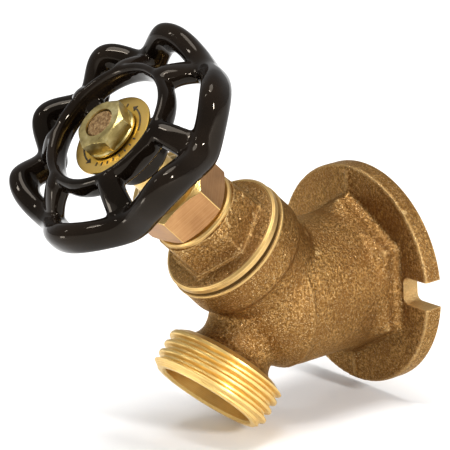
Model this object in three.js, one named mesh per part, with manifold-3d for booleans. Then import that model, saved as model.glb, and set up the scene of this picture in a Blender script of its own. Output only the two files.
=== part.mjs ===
// A wall-mounted angle hose bib: cast body, screwed bonnet, rising stem with swivelling seat disc,
// packing set, seven-petal handwheel. Millimetres, +Z up, +Y into the wall.
// Origin: centre of the wall flange's back face, on the inlet axis.
import * as THREE from 'three';
import * as BufferGeometryUtils from 'three/addons/utils/BufferGeometryUtils.js';
import Module from 'manifold-3d';

const wasm = await Module();
wasm.setup();

const GAP = 0.3; // space left between two pieces that touch
const ROUND = 40; // facets on a large turned surface
const SMALL_ROUND = 24; // facets on a small turned surface

// Hose thread: 3/4-11.5 garden hose, the size everything else is scaled from.
const HOSE_MAJOR_R = 26.99 / 2;
const HOSE_MINOR_R = 24.8 / 2;
const HOSE_PITCH = 25.4 / 11.5;
const HOSE_CRESTS = 4;

// Inlet side, measured along -Y from the wall.
const FLANGE_R = 24.5;
const FLANGE_T = 4.0;
const SLOT_W = 6.0;
const SLOT_END_X = 17.0;
const HEX_BOSS_FLAT = 30.8;
const HEX_BOSS_END = 9.0;
const BARREL_R = 15.3;
const BARREL_END = 24.0;
const INLET_R = 9.5;
const INLET_DEPTH = 15.0;
const WATERWAY_R = 7.5;

// Stem axis: leaves the inlet axis upwards and away from the wall.
const STEM_Y = -22.8;
const STEM_TILT = THREE.MathUtils.degToRad(46.5);
// Spout axis: leaves the inlet axis downwards and away from the wall.
const SPOUT_Y = -28.0;
const SPOUT_TILT = THREE.MathUtils.degToRad(45.0);

// Distances below are along the stem axis from where it meets the inlet axis.
const PORT_R = 5.5;
const SEAT_LIP_R = 6.9;
const SEAT_TOP = 6.0;
const CHAMBER_FLOOR = 5.0;
const CHAMBER_R = 11.0;
const NECK_R = 14.1;
const NECK_BORE_R = 11.5;
const NECK_THREAD_START = 13.5;
const NECK_TOP = 21.2;

const GASKET_T = 0.7;
const GASKET_R = 13.0;
const BONNET_SEAT = NECK_TOP + GASKET_T + 2 * GAP;
const BONNET_RIM_R = 13.9;
const BONNET_RIM_TOP = BONNET_SEAT + 2.0;
const BONNET_HEX_FLAT = 21.6;
const BONNET_HEX_TOP = 29.9;
const BONNET_HEX_TURN = THREE.MathUtils.degToRad(12);
const BONNET_COLLAR_R = 9.3;
const BONNET_COLLAR_TOP = 31.6;
const BONNET_NECK_R = 7.6;
const BONNET_NECK_TOP = 36.5;
const STUFFING_R = 6.4;
const STUFFING_FLOOR = 31.4;

const STEM_SHANK_R = 4.6;
const STEM_THREAD_R = 5.4;
const STEM_THREAD_BOTTOM = 16.8;
const STEM_THREAD_TOP = 26.8;
const STEM_SHOULDER = 50.0;
const STEM_SQUARE = 5.8;
const STEM_END_R = 3.15;
const STEM_END = 64.4;
const SWIVEL_HEAD_R = 4.3;
const SWIVEL_NECK_R = 2.8;
const SWIVEL_HEAD_BOTTOM = 11.3;
const SWIVEL_HEAD_TOP = 13.6;

const DISC_R = 7.6;
const DISC_BOTTOM = SEAT_TOP + GAP;
const DISC_TOP = 9.3;
const HOLDER_R = 8.8;
const HOLDER_SHOULDER = 11.6;
const HOLDER_BOSS_R = 6.9;
const HOLDER_TOP = 16.2;
const RETAINER_R = 5.5;
const SCREW_R = 1.9;

const NUT_FLAT = 17.5;
const NUT_BOTTOM = BONNET_COLLAR_TOP + GAP;
const NUT_TOP = 41.2;
const NUT_TURN = THREE.MathUtils.degToRad(30);
const PACKING_R = STUFFING_R - GAP;
const WASHER_T = 0.6;
const RING_T = 2.0;
const GLAND_TOP = 38.9;

// Middles of the wheel's petals in degrees round the stem: the casting does not space them evenly.
const PETAL_TURNS = [34, 101, 140, 182, 220, 284, 342];
const RING_R = 14.0;
const RING_HALF_W = 1.2;
const RING_HALF_H = 2.6;
const RING_LEVEL = 61.5;
// The rim's middle line stands out and up at each petal, in and down half way between two.
const PETAL_R = 24.2;
const PETAL_LEVEL = 59.2;
const VALLEY_R = 21.7;
const VALLEY_LEVEL = 55.5;
const RIM_HALF_W = 2.4;
const RIM_HALF_H = 3.5;
const ARM_HALF_W = 2.5;
const ARM_HALF_H = 2.7;
const HUB_R = 6.5;
const HUB_BOTTOM = STEM_SHOULDER + GAP;
const HUB_TOP = 59.2;
const SPOKES = 3;
const SPOKE_W = 4.6;
const SPOKE_HALF_H = 1.75;
const SPOKE_TURN = 40;

const PLATE_R = 9.25;
const PLATE_T = 0.8;
const PLATE_BOTTOM = HUB_TOP + GAP;
const HANDLE_NUT_FLAT = 10.4;
const HANDLE_NUT_BOTTOM = PLATE_BOTTOM + PLATE_T + GAP;
const HANDLE_NUT_TOP = 64.6;
const HANDLE_NUT_TURN = THREE.MathUtils.degToRad(-6);

const CAST_BRONZE = { color: 0x9c6f3c, roughness: 0.6, metalness: 0.85 };
const BRASS = { color: 0xd8aa46, roughness: 0.3, metalness: 0.95 };
const HEAT_TINTED = { color: 0xa8703f, roughness: 0.35, metalness: 0.9 };
const BLACK_ENAMEL = { color: 0x0e0c0b, roughness: 0.12, metalness: 0.0 };
const ZINC_YELLOW = { color: 0xcfc37a, roughness: 0.35, metalness: 0.9 };
const RUBBER = { color: 0x1b1b1b, roughness: 0.85, metalness: 0.0 };
const FIBRE = { color: 0x3a2c22, roughness: 0.9, metalness: 0.0 };
const GRAPHITE = { color: 0x2c2c2e, roughness: 0.7, metalness: 0.1 };

// three.js geometry to a closed solid.
function solid(geometry) {
  const bare = geometry.clone();
  bare.deleteAttribute('normal');
  bare.deleteAttribute('uv');
  const merged = BufferGeometryUtils.mergeVertices(bare, 1e-4);
  const index = merged.index.array;
  const triangles = [];
  for (let i = 0; i < index.length; i += 3) {
    const [a, b, c] = [index[i], index[i + 1], index[i + 2]];
    if (a !== b && b !== c && c !== a) {
      triangles.push(a, b, c);
    }
  }
  return new wasm.Manifold(new wasm.Mesh({
    numProp: 3,
    vertProperties: new Float32Array(merged.attributes.position.array),
    triVerts: new Uint32Array(triangles),
  }));
}

// A closed solid back to a named three.js mesh.
function piece(name, shape, look) {
  const result = shape.getMesh();
  const geometry = new THREE.BufferGeometry();
  geometry.setAttribute('position', new THREE.BufferAttribute(result.vertProperties, 3));
  geometry.setIndex(new THREE.BufferAttribute(result.triVerts, 1));
  geometry.computeVertexNormals();
  const mesh = new THREE.Mesh(geometry, new THREE.MeshStandardMaterial(look));
  mesh.name = name;
  return mesh;
}

// A turned solid about +Y from a closed outline of [radius, height] corners.
function turned(outline, facets = ROUND) {
  const points = outline.map(([r, y]) => new THREE.Vector2(r, y));
  if (THREE.ShapeUtils.area(points) < 0) {
    points.reverse();
  }
  const onAxis = points[0].x === 0 && points[points.length - 1].x === 0;
  if (!onAxis) {
    points.push(points[0].clone());
  }
  return new THREE.LatheGeometry(points, facets);
}

// A plain cylinder along +Y between two heights.
function rod(radius, bottom, top, facets = ROUND) {
  return new THREE.CylinderGeometry(radius, radius, top - bottom, facets)
    .translate(0, (bottom + top) / 2, 0);
}

// A tube along +Y.
function tube(inner, outer, bottom, top, facets = SMALL_ROUND) {
  return solid(turned([[inner, bottom], [outer, bottom], [outer, top], [inner, top]], facets));
}

// A hexagonal prism along +Y, turned about its axis, whose corners are cut back by a 30 degree cone
// at the chosen ends.
function hexPrism(flat, bottom, top, turn, cutBottom, cutTop) {
  const corner = flat / Math.sqrt(3);
  const bevel = (corner - flat / 2 + 0.35) * Math.tan(Math.PI / 6);
  const prism = solid(new THREE.CylinderGeometry(corner, corner, top - bottom, 6)
    .translate(0, (bottom + top) / 2, 0)
    .rotateY(turn));
  const cone = solid(turned([
    [0, bottom],
    [cutBottom ? flat / 2 - 0.35 : corner + 1, bottom],
    [corner + (cutBottom ? 0.01 : 1), bottom + (cutBottom ? bevel : 0.01)],
    [corner + (cutTop ? 0.01 : 1), top - (cutTop ? bevel : 0.01)],
    [cutTop ? flat / 2 - 0.35 : corner + 1, top],
    [0, top],
  ]));
  return prism.intersect(cone);
}

// The direction and start of the stem axis, as a frame whose +Y runs out along the stem.
function onStemAxis(geometry) {
  return geometry.rotateX(Math.PI - STEM_TILT).translate(0, STEM_Y, 0);
}

function onSpoutAxis(geometry) {
  return geometry.rotateX(Math.PI + SPOUT_TILT).translate(0, SPOUT_Y, 0);
}

// +Y runs from the wall out along the inlet axis.
function onInletAxis(geometry) {
  return geometry.rotateX(Math.PI);
}

// Outline of the spout, turned about its own axis: waisted neck, then the hose thread.
function spoutOutline() {
  const firstCrest = 16.7;
  const crestFlat = 0.35;
  const outline = [
    [0, -2], [13.5, -2], [13.2, 2], [11.4, 4.8], [9.6, 7.4], [8.5, 10], [8.2, 12.2], [8.9, 13.8],
    [10.2, 15.0],
  ];
  for (let i = 0; i < HOSE_CRESTS; i += 1) {
    const crest = firstCrest + i * HOSE_PITCH;
    outline.push([HOSE_MINOR_R, crest - HOSE_PITCH / 2 + crestFlat / 2]);
    outline.push([HOSE_MAJOR_R, crest - crestFlat / 2]);
    outline.push([HOSE_MAJOR_R, crest + crestFlat / 2]);
  }
  const mouth = spoutMouth();
  outline.push([HOSE_MINOR_R + 0.1, mouth - 0.5], [HOSE_MINOR_R - 0.3, mouth], [0, mouth]);
  return outline;
}

// Distance from the inlet axis to the mouth face, along the spout.
function spoutMouth() {
  return 24.5;
}

function wallFlange() {
  const edge = 0.6;
  const disc = solid(onInletAxis(turned([
    [0, 0], [FLANGE_R, 0], [FLANGE_R, FLANGE_T - edge], [FLANGE_R - edge, FLANGE_T], [0, FLANGE_T],
  ], 72)));
  const corner = 1.5;
  const slot = new THREE.Shape();
  const far = FLANGE_R + 3;
  slot.moveTo(far, -SLOT_W / 2);
  slot.lineTo(far, SLOT_W / 2);
  slot.lineTo(SLOT_END_X + corner, SLOT_W / 2);
  slot.absarc(SLOT_END_X + corner, SLOT_W / 2 - corner, corner, Math.PI / 2, Math.PI, false);
  slot.absarc(SLOT_END_X + corner, -SLOT_W / 2 + corner, corner, Math.PI, 1.5 * Math.PI, false);
  slot.closePath();
  const through = { depth: FLANGE_T + 4, bevelEnabled: false, curveSegments: 4 };
  const cutter = new THREE.ExtrudeGeometry(slot, through)
    .rotateX(Math.PI / 2)
    .translate(0, 2, 0);
  const opposite = cutter.clone().rotateY(Math.PI);
  return disc.subtract(solid(cutter)).subtract(solid(opposite));
}

// Raised mould line left on the flange's front face, above and below the barrel.
function mouldLine() {
  const width = 0.9;
  const height = 0.5;
  const from = BARREL_R;
  const to = FLANGE_R - 1.2;
  const bar = new THREE.BoxGeometry(width, height + 1, to - from)
    .translate(0, -FLANGE_T - height / 2 + 0.5, (from + to) / 2);
  const below = bar.clone().rotateY(Math.PI);
  return solid(bar).add(solid(below));
}

function bodyCasting() {
  const hexCorner = HEX_BOSS_FLAT / Math.sqrt(3);
  const hexBoss = onInletAxis(new THREE.CylinderGeometry(hexCorner, hexCorner, HEX_BOSS_END - 1, 6)
    .translate(0, (HEX_BOSS_END + 1) / 2, 0));
  const dome = [];
  for (let i = 0; i <= 6; i += 1) {
    const turn = (i / 6) * (Math.PI / 2);
    dome.push([i === 6 ? 0 : BARREL_R * Math.cos(turn), BARREL_END + BARREL_R * Math.sin(turn)]);
  }
  const barrel = onInletAxis(turned([[0, 1], [BARREL_R, 1], ...dome]));
  const neck = onStemAxis(turned([
    [0, -4], [9.5, -2.5], [12.6, 1], [NECK_R, 6], [NECK_R, NECK_TOP - 0.3],
    [NECK_R - 0.3, NECK_TOP], [0, NECK_TOP],
  ]));
  const spout = onSpoutAxis(turned(spoutOutline()));
  return wallFlange()
    .add(mouldLine())
    .add(solid(hexBoss))
    .add(solid(barrel))
    .add(solid(neck))
    .add(solid(spout));
}

// Everything the water runs through, as one solid to be cut out of the casting.
function waterways() {
  const inlet = onInletAxis(turned([
    [0, -1], [INLET_R + 1, -1], [INLET_R + 1, 0], [INLET_R, 1], [INLET_R, INLET_DEPTH],
    [WATERWAY_R, INLET_DEPTH + 1.5], [WATERWAY_R, BARREL_END], [0, BARREL_END],
  ], SMALL_ROUND));
  const port = onStemAxis(rod(PORT_R, -5, SEAT_TOP + 1, SMALL_ROUND));
  const chamber = onStemAxis(turned([
    [0, SEAT_TOP], [SEAT_LIP_R, SEAT_TOP], [SEAT_LIP_R, CHAMBER_FLOOR], [CHAMBER_R, CHAMBER_FLOOR],
    [CHAMBER_R, NECK_THREAD_START], [NECK_BORE_R, NECK_THREAD_START], [NECK_BORE_R, NECK_TOP + 1],
    [0, NECK_TOP + 1],
  ], SMALL_ROUND));
  const mouth = spoutMouth();
  const outletR = 6.0;
  const mouthR = 10.4;
  const outlet = onSpoutAxis(turned([
    [0, 5.2], [outletR, 5.2], [outletR, mouth - 8], [mouthR, mouth - 7], [mouthR, mouth - 0.4],
    [mouthR + 0.5, mouth + 0.1], [mouthR + 0.5, mouth + 1], [0, mouth + 1],
  ], SMALL_ROUND));
  return solid(inlet).add(solid(port)).add(solid(chamber)).add(solid(outlet));
}

function valveBody() {
  return piece('valve_body', bodyCasting().subtract(waterways()), CAST_BRONZE);
}

function bonnetGasket() {
  const bottom = NECK_TOP + GAP;
  return piece('bonnet_gasket', tube(NECK_BORE_R, GASKET_R, bottom, bottom + GASKET_T, ROUND), FIBRE);
}

function bonnet() {
  const spigotR = NECK_BORE_R - GAP;
  const spigotBottom = NECK_THREAD_START + 0.3;
  const skirtBoreR = HOLDER_R + 0.6;
  const webBottom = 21.8;
  const round = solid(turned([
    [skirtBoreR, spigotBottom], [spigotR, spigotBottom], [spigotR, BONNET_SEAT],
    [BONNET_RIM_R, BONNET_SEAT], [BONNET_RIM_R, BONNET_RIM_TOP - 0.4], [BONNET_RIM_R - 0.4, BONNET_RIM_TOP],
    [12.3, BONNET_RIM_TOP + 1.6], [BONNET_COLLAR_R, BONNET_HEX_TOP - 1],
    [BONNET_COLLAR_R, BONNET_COLLAR_TOP - 0.3], [BONNET_COLLAR_R - 0.3, BONNET_COLLAR_TOP],
    [BONNET_NECK_R, BONNET_COLLAR_TOP], [BONNET_NECK_R, BONNET_NECK_TOP], [STUFFING_R, BONNET_NECK_TOP],
    [STUFFING_R, STUFFING_FLOOR], [STEM_THREAD_R + GAP, STUFFING_FLOOR], [STEM_THREAD_R + GAP, webBottom],
    [skirtBoreR, webBottom],
  ]));
  const bored = solid(rod(STEM_THREAD_R + GAP, BONNET_SEAT - 5, BONNET_COLLAR_TOP + 1, SMALL_ROUND));
  const hex = hexPrism(BONNET_HEX_FLAT, BONNET_RIM_TOP - 1, BONNET_HEX_TOP, BONNET_HEX_TURN, false, true);
  return piece('bonnet', round.add(hex.subtract(bored)), CAST_BRONZE);
}

function packingNut() {
  const hexTop = NUT_TOP - 0.8;
  const crownR = 7.6;
  const hex = hexPrism(NUT_FLAT, NUT_BOTTOM, hexTop, NUT_TURN, true, true);
  const crown = solid(turned([
    [0, hexTop - 1], [crownR, hexTop - 1], [crownR, hexTop], [crownR - 1, NUT_TOP], [0, NUT_TOP],
  ], SMALL_ROUND));
  const threadR = BONNET_NECK_R + GAP;
  const threadTop = BONNET_NECK_TOP + 0.5;
  const hollow = solid(turned([
    [0, NUT_BOTTOM - 1], [threadR, NUT_BOTTOM - 1], [threadR, threadTop],
    [STUFFING_R, threadTop + 0.4], [STUFFING_R, GLAND_TOP + GAP],
    [STEM_SHANK_R + GAP, GLAND_TOP + GAP], [STEM_SHANK_R + GAP, NUT_TOP + 1], [0, NUT_TOP + 1],
  ], SMALL_ROUND));
  return piece('packing_nut', hex.add(crown).subtract(hollow), HEAT_TINTED);
}

// Washer, two soft rings and gland, stacked in the stuffing box from its floor up.
function packingSet() {
  const inner = STEM_SHANK_R + GAP;
  const washerBottom = STUFFING_FLOOR + GAP;
  const lowerBottom = washerBottom + WASHER_T + GAP;
  const upperBottom = lowerBottom + RING_T + GAP;
  const glandBottom = upperBottom + RING_T + GAP;
  return [
    piece('packing_washer', tube(inner, PACKING_R, washerBottom, washerBottom + WASHER_T), BRASS),
    piece('packing_ring_lower', tube(inner, PACKING_R, lowerBottom, lowerBottom + RING_T), GRAPHITE),
    piece('packing_ring_upper', tube(inner, PACKING_R, upperBottom, upperBottom + RING_T), GRAPHITE),
    piece('packing_gland', tube(inner, PACKING_R, glandBottom, GLAND_TOP), BRASS),
  ];
}

function discHolder() {
  const skirtBottom = DISC_BOTTOM + 1.0;
  const shape = solid(turned([
    [0, DISC_TOP + GAP], [DISC_R + GAP, DISC_TOP + GAP], [DISC_R + GAP, skirtBottom], [HOLDER_R, skirtBottom],
    [HOLDER_R, HOLDER_SHOULDER - 0.6], [HOLDER_R - 0.6, HOLDER_SHOULDER], [HOLDER_BOSS_R, HOLDER_SHOULDER],
    [HOLDER_BOSS_R, HOLDER_TOP], [RETAINER_R + GAP, HOLDER_TOP], [RETAINER_R + GAP, SWIVEL_HEAD_TOP],
    [SWIVEL_HEAD_R + GAP, SWIVEL_HEAD_TOP], [SWIVEL_HEAD_R + GAP, SWIVEL_HEAD_BOTTOM - GAP],
    [0, SWIVEL_HEAD_BOTTOM - GAP],
  ], SMALL_ROUND));
  const screwHole = solid(rod(SCREW_R + GAP, DISC_TOP - 1, SWIVEL_HEAD_BOTTOM, 24));
  return piece('disc_holder', shape.subtract(screwHole), BRASS);
}

function discRetainer() {
  const ring = tube(SWIVEL_NECK_R + GAP, RETAINER_R, SWIVEL_HEAD_TOP + GAP, HOLDER_TOP);
  return piece('disc_retainer', ring, BRASS);
}

function seatDisc() {
  return piece('seat_disc', tube(SCREW_R + GAP, DISC_R, DISC_BOTTOM, DISC_TOP), RUBBER);
}

function discScrew() {
  const headR = 3.9;
  const headT = 1.5;
  const headTop = DISC_BOTTOM - GAP;
  const screw = solid(turned([
    [0, headTop - headT], [headR - 0.6, headTop - headT], [headR, headTop - headT + 0.6], [headR, headTop],
    [SCREW_R, headTop], [SCREW_R, SWIVEL_HEAD_BOTTOM - 0.6], [0, SWIVEL_HEAD_BOTTOM - 0.6],
  ], 24));
  const driverSlot = solid(new THREE.BoxGeometry(2 * headR + 1, 1.4, 0.9).translate(0, headTop - headT, 0));
  return piece('disc_screw', screw.subtract(driverSlot), BRASS);
}

function stem() {
  const pitch = 25.4 / 12;
  const rootR = STEM_THREAD_R - 0.9;
  const flank = 0.4;
  const crest = 0.85;
  const outline = [
    [0, SWIVEL_HEAD_BOTTOM], [SWIVEL_HEAD_R, SWIVEL_HEAD_BOTTOM], [SWIVEL_HEAD_R, SWIVEL_HEAD_TOP],
    [SWIVEL_NECK_R, SWIVEL_HEAD_TOP], [SWIVEL_NECK_R, STEM_THREAD_BOTTOM - 0.3],
  ];
  const turns = Math.floor((STEM_THREAD_TOP - STEM_THREAD_BOTTOM) / pitch);
  for (let i = 0; i < turns; i += 1) {
    const start = STEM_THREAD_BOTTOM + i * pitch;
    outline.push([rootR, start], [STEM_THREAD_R, start + flank]);
    outline.push([STEM_THREAD_R, start + flank + crest], [rootR, start + 2 * flank + crest]);
  }
  outline.push(
    [rootR, STEM_THREAD_TOP + 0.3], [STEM_SHANK_R, STEM_THREAD_TOP + 0.8],
    [STEM_SHANK_R, STEM_SHOULDER - 0.4],
    [STEM_SHANK_R - 0.4, STEM_SHOULDER], [STEM_END_R, STEM_SHOULDER], [STEM_END_R, STEM_END - 0.5],
    [STEM_END_R - 0.5, STEM_END], [0, STEM_END],
  );
  const squareTop = HUB_TOP - 0.6;
  const square = solid(new THREE.BoxGeometry(STEM_SQUARE, squareTop - STEM_SHOULDER + 1, STEM_SQUARE)
    .translate(0, (squareTop + STEM_SHOULDER - 1) / 2, 0));
  return piece('stem', solid(turned(outline, SMALL_ROUND)).add(square), BRASS);
}

// A closed skin through rings of points; its two ends are capped unless the rings run in a loop.
function skinned(rings, inLoop) {
  const around = rings[0].length;
  const index = [];
  const spans = inLoop ? rings.length : rings.length - 1;
  for (let i = 0; i < spans; i += 1) {
    const here = i * around;
    const next = ((i + 1) % rings.length) * around;
    for (let j = 0; j < around; j += 1) {
      const k = (j + 1) % around;
      index.push(here + j, next + k, here + k);
      index.push(here + j, next + j, next + k);
    }
  }
  if (!inLoop) {
    const last = (rings.length - 1) * around;
    for (let j = 1; j < around - 1; j += 1) {
      index.push(0, j, j + 1);
      index.push(last, last + j + 1, last + j);
    }
  }
  const geometry = new THREE.BufferGeometry();
  const positions = rings.flat().flatMap((point) => point.toArray());
  geometry.setAttribute('position', new THREE.Float32BufferAttribute(positions, 3));
  geometry.setIndex(index);
  return geometry;
}

// A bar of plump oval section along stations { centre, halfW, halfH }; the section stays upright.
function sweptBar(stations, inLoop) {
  const sides = 12;
  const plump = 0.8;
  const count = stations.length;
  const rings = stations.map((station, i) => {
    const before = stations[inLoop ? (i + count - 1) % count : Math.max(i - 1, 0)].centre;
    const after = stations[inLoop ? (i + 1) % count : Math.min(i + 1, count - 1)].centre;
    const across = new THREE.Vector3(before.z - after.z, 0, after.x - before.x).normalize();
    const ring = [];
    for (let j = 0; j < sides; j += 1) {
      const turn = (j / sides) * 2 * Math.PI;
      const sideways = Math.sign(Math.cos(turn)) * Math.abs(Math.cos(turn)) ** plump;
      const upward = Math.sign(Math.sin(turn)) * Math.abs(Math.sin(turn)) ** plump;
      ring.push(station.centre.clone()
        .addScaledVector(across, sideways * station.halfW)
        .add(new THREE.Vector3(0, upward * station.halfH, 0)));
    }
    return ring;
  });
  return solid(skinned(rings, inLoop));
}

// A point of the wheel from its distance, turn in degrees and height on the stem axis.
function wheelPoint(radius, degrees, height) {
  const turn = THREE.MathUtils.degToRad(degrees);
  return new THREE.Vector3(radius * Math.cos(turn), height, -radius * Math.sin(turn));
}

// Degrees from one petal's middle to the next.
function petalGap(petal) {
  const following = PETAL_TURNS[(petal + 1) % PETAL_TURNS.length];
  return (following - PETAL_TURNS[petal] + 360) % 360;
}

function wheelRim() {
  const stepsPerPetal = 14;
  const stations = [];
  for (let petal = 0; petal < PETAL_TURNS.length; petal += 1) {
    for (let step = 0; step < stepsPerPetal; step += 1) {
      const share = step / stepsPerPetal;
      const wave = (1 + Math.cos(2 * Math.PI * share)) / 2;
      const radius = THREE.MathUtils.lerp(VALLEY_R, PETAL_R, wave);
      const level = THREE.MathUtils.lerp(VALLEY_LEVEL, PETAL_LEVEL, wave);
      const degrees = PETAL_TURNS[petal] + share * petalGap(petal);
      stations.push({ centre: wheelPoint(radius, degrees, level), halfW: RIM_HALF_W, halfH: RIM_HALF_H });
    }
  }
  return sweptBar(stations, true);
}

function wheelRing() {
  const steps = 56;
  const stations = [];
  for (let step = 0; step < steps; step += 1) {
    const centre = wheelPoint(RING_R, (step / steps) * 360, RING_LEVEL);
    stations.push({ centre, halfW: RING_HALF_W, halfH: RING_HALF_H });
  }
  return sweptBar(stations, true);
}

// An arm between two petals, from a knuckle on the ring down and out to the rim's valley.
function wheelArm(degrees) {
  const steps = 6;
  const stations = [];
  for (let step = 0; step <= steps; step += 1) {
    const share = step / steps;
    const radius = THREE.MathUtils.lerp(RING_R, VALLEY_R, share);
    const level = THREE.MathUtils.lerp(RING_LEVEL, VALLEY_LEVEL, share ** 1.6);
    const halfW = ARM_HALF_W * (1 + 0.35 * share);
    stations.push({ centre: wheelPoint(radius, degrees, level), halfW, halfH: ARM_HALF_H });
  }
  return sweptBar(stations, false);
}

// A spoke that leaves the hub, passes under the plate and turns up into the ring.
function wheelSpoke(degrees) {
  const low = HUB_TOP - 2.2;
  const bar = { halfW: SPOKE_W / 2, halfH: SPOKE_HALF_H };
  return sweptBar([
    { centre: wheelPoint(HUB_R - 2, degrees, low), ...bar },
    { centre: wheelPoint(PLATE_R - 0.6, degrees, low), ...bar },
    { centre: wheelPoint(PLATE_R + 1.6, degrees, low + 1.0), ...bar },
    { centre: wheelPoint(RING_R, degrees, RING_LEVEL - 0.8), ...bar },
  ], false);
}

function handwheel() {
  const hub = solid(turned([
    [0, HUB_BOTTOM], [HUB_R - 0.8, HUB_BOTTOM], [HUB_R, HUB_BOTTOM + 0.8], [HUB_R, HUB_TOP - 0.8],
    [HUB_R - 0.8, HUB_TOP], [0, HUB_TOP],
  ], SMALL_ROUND));
  let wheel = wheelRing().add(wheelRim()).add(hub);
  for (let petal = 0; petal < PETAL_TURNS.length; petal += 1) {
    wheel = wheel.add(wheelArm(PETAL_TURNS[petal] + petalGap(petal) / 2));
  }
  for (let i = 0; i < SPOKES; i += 1) {
    wheel = wheel.add(wheelSpoke(SPOKE_TURN + (i / SPOKES) * 360));
  }
  const hole = STEM_SQUARE + 2 * GAP;
  const broach = new THREE.BoxGeometry(hole, HUB_TOP - HUB_BOTTOM + 4, hole)
    .translate(0, (HUB_TOP + HUB_BOTTOM) / 2, 0);
  return piece('handwheel', wheel.subtract(solid(broach)), BLACK_ENAMEL);
}

function idPlate() {
  const disc = tube(STEM_END_R + GAP, PLATE_R, PLATE_BOTTOM, PLATE_BOTTOM + PLATE_T, ROUND);
  return piece('id_plate', disc, BRASS);
}

function handleNut() {
  const faceR = HANDLE_NUT_FLAT / 2 + 0.5;
  const faceTop = HANDLE_NUT_BOTTOM + 0.7;
  const face = solid(rod(faceR, HANDLE_NUT_BOTTOM, faceTop, SMALL_ROUND));
  const hex = hexPrism(HANDLE_NUT_FLAT, faceTop - 0.1, HANDLE_NUT_TOP, HANDLE_NUT_TURN, false, true);
  const bore = solid(rod(STEM_END_R + GAP, HANDLE_NUT_BOTTOM - 1, HANDLE_NUT_TOP + 1, SMALL_ROUND));
  return piece('handle_nut', face.add(hex).subtract(bore), ZINC_YELLOW);
}

const group = new THREE.Group();
group.name = 'hose_bib';
const stemLine = new THREE.Group();
stemLine.name = 'stem_line';
stemLine.position.set(0, STEM_Y, 0);
stemLine.rotation.set(Math.PI - STEM_TILT, 0, 0);
stemLine.add(
  bonnetGasket(), bonnet(), ...packingSet(), packingNut(),
  discHolder(), discRetainer(), seatDisc(), discScrew(),
  stem(), handwheel(), idPlate(), handleNut(),
);
group.add(valveBody(), stemLine);

export default group;
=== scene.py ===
"""A wall-mounted hose bib: sand-cast bronze body and bonnet, machined brass, dipped black handwheel.

Lengths are in millimetres until `placed` turns them into metres. Each turned or cast piece is made in
its own axis frame, whose +Z runs along the stem, the spout or the inlet, away from the inlet axis.
"""

import math

import bmesh
import bpy
import numpy as np
from mathutils import Matrix, Vector


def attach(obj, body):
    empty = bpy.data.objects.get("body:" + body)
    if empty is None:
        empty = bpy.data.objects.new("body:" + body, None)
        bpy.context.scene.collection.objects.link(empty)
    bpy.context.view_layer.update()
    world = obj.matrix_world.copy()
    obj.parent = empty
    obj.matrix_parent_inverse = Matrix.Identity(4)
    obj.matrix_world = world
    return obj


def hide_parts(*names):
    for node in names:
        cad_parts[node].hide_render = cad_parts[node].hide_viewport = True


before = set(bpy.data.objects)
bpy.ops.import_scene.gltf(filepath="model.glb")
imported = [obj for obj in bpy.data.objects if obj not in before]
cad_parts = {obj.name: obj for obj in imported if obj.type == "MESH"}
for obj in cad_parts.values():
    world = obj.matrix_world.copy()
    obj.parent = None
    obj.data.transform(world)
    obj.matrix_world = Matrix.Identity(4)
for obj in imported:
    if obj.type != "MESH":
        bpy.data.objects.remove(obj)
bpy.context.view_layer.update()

MM = 0.001

# Driving sizes. Most are the CAD's. The top of the neck, the bonnet's foot, hexagon and collar, and the
# packing nut differ from it by up to 3 mm, to sit where the real tap has them.
HOSE_MAJOR_R = 26.99 / 2
HOSE_MINOR_R = 24.8 / 2
HOSE_PITCH = 25.4 / 11.5
MOUTH = 24.5
MOUTH_R = 10.4
OUTLET_R = 6.0
FLANGE_R = 24.5
FLANGE_T = 4.0
SLOT_W = 6.0
SLOT_END = 17.0
HEX_BOSS_FLAT = 30.8
HEX_BOSS_END = 9.0
BARREL_R = 15.3
BARREL_END = 24.0
INLET_R = 9.5
WATERWAY_R = 7.5
NECK_R = 14.1
NECK_BORE_R = 11.5
NECK_TOP = 21.5
BONNET_SEAT = 22.2
BONNET_RIM_R = 13.9
BONNET_RIM_TOP = 23.9
BONNET_HEX_FLAT = 18.6
BONNET_HEX_TURN = math.radians(-13)
BONNET_HEX_TOP = 32.1
COLLAR_R = 9.3
COLLAR_TOP = 33.4
NUT_FLAT = 17.5
NUT_TURN = math.radians(5.5)
NUT_BOTTOM = 33.9
NUT_TOP = 43.2
SHANK_R = 4.6
STEM_SHOULDER = 50.0
STEM_END_R = 3.15
STEM_END = 64.4
# Where the petals' middles are cast, in degrees round the wheel: a little off an even spacing.
PETAL_TURNS = [34, 101, 140, 182, 220, 284, 342]
PETALS = len(PETAL_TURNS)
RING_R = 14.0
RING_HALF_W = 1.25
RING_HALF_H = 2.6
RING_LEVEL = 61.5
PETAL_R = 24.2
PETAL_LEVEL = 59.2
VALLEY_R = 21.7
VALLEY_LEVEL = 55.5
RIM_HALF_W = 2.5
RIM_HALF_H = 3.6
WHEEL_SHIFT = (0.5, 0.5, 0.0)
SPOKES = 3
FIRST_SPOKE_TURN = 40
HUB_R = 6.5
HUB_BOTTOM = 50.3
HUB_TOP = 59.2
SQUARE_HALF = 3.2
PLATE_R = 9.25
PLATE_BOTTOM = 59.5
PLATE_TOP = 60.3
HANDLE_NUT_FLAT = 10.4
HANDLE_NUT_TURN = math.radians(24)
HANDLE_NUT_FACE_R = 5.9
HANDLE_NUT_BOTTOM = 60.6
HANDLE_NUT_TOP = 64.6


def axis_frame(start_y, direction):
    """Frame with +X across the tap and +Z along an axis in the plane X = 0."""
    across = Vector((1, 0, 0))
    along = Vector((0, *direction)).normalized()
    up = along.cross(across)
    turn = Matrix((across, up, along)).transposed().to_4x4()
    return Matrix.Translation((0, start_y, 0)) @ turn


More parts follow.
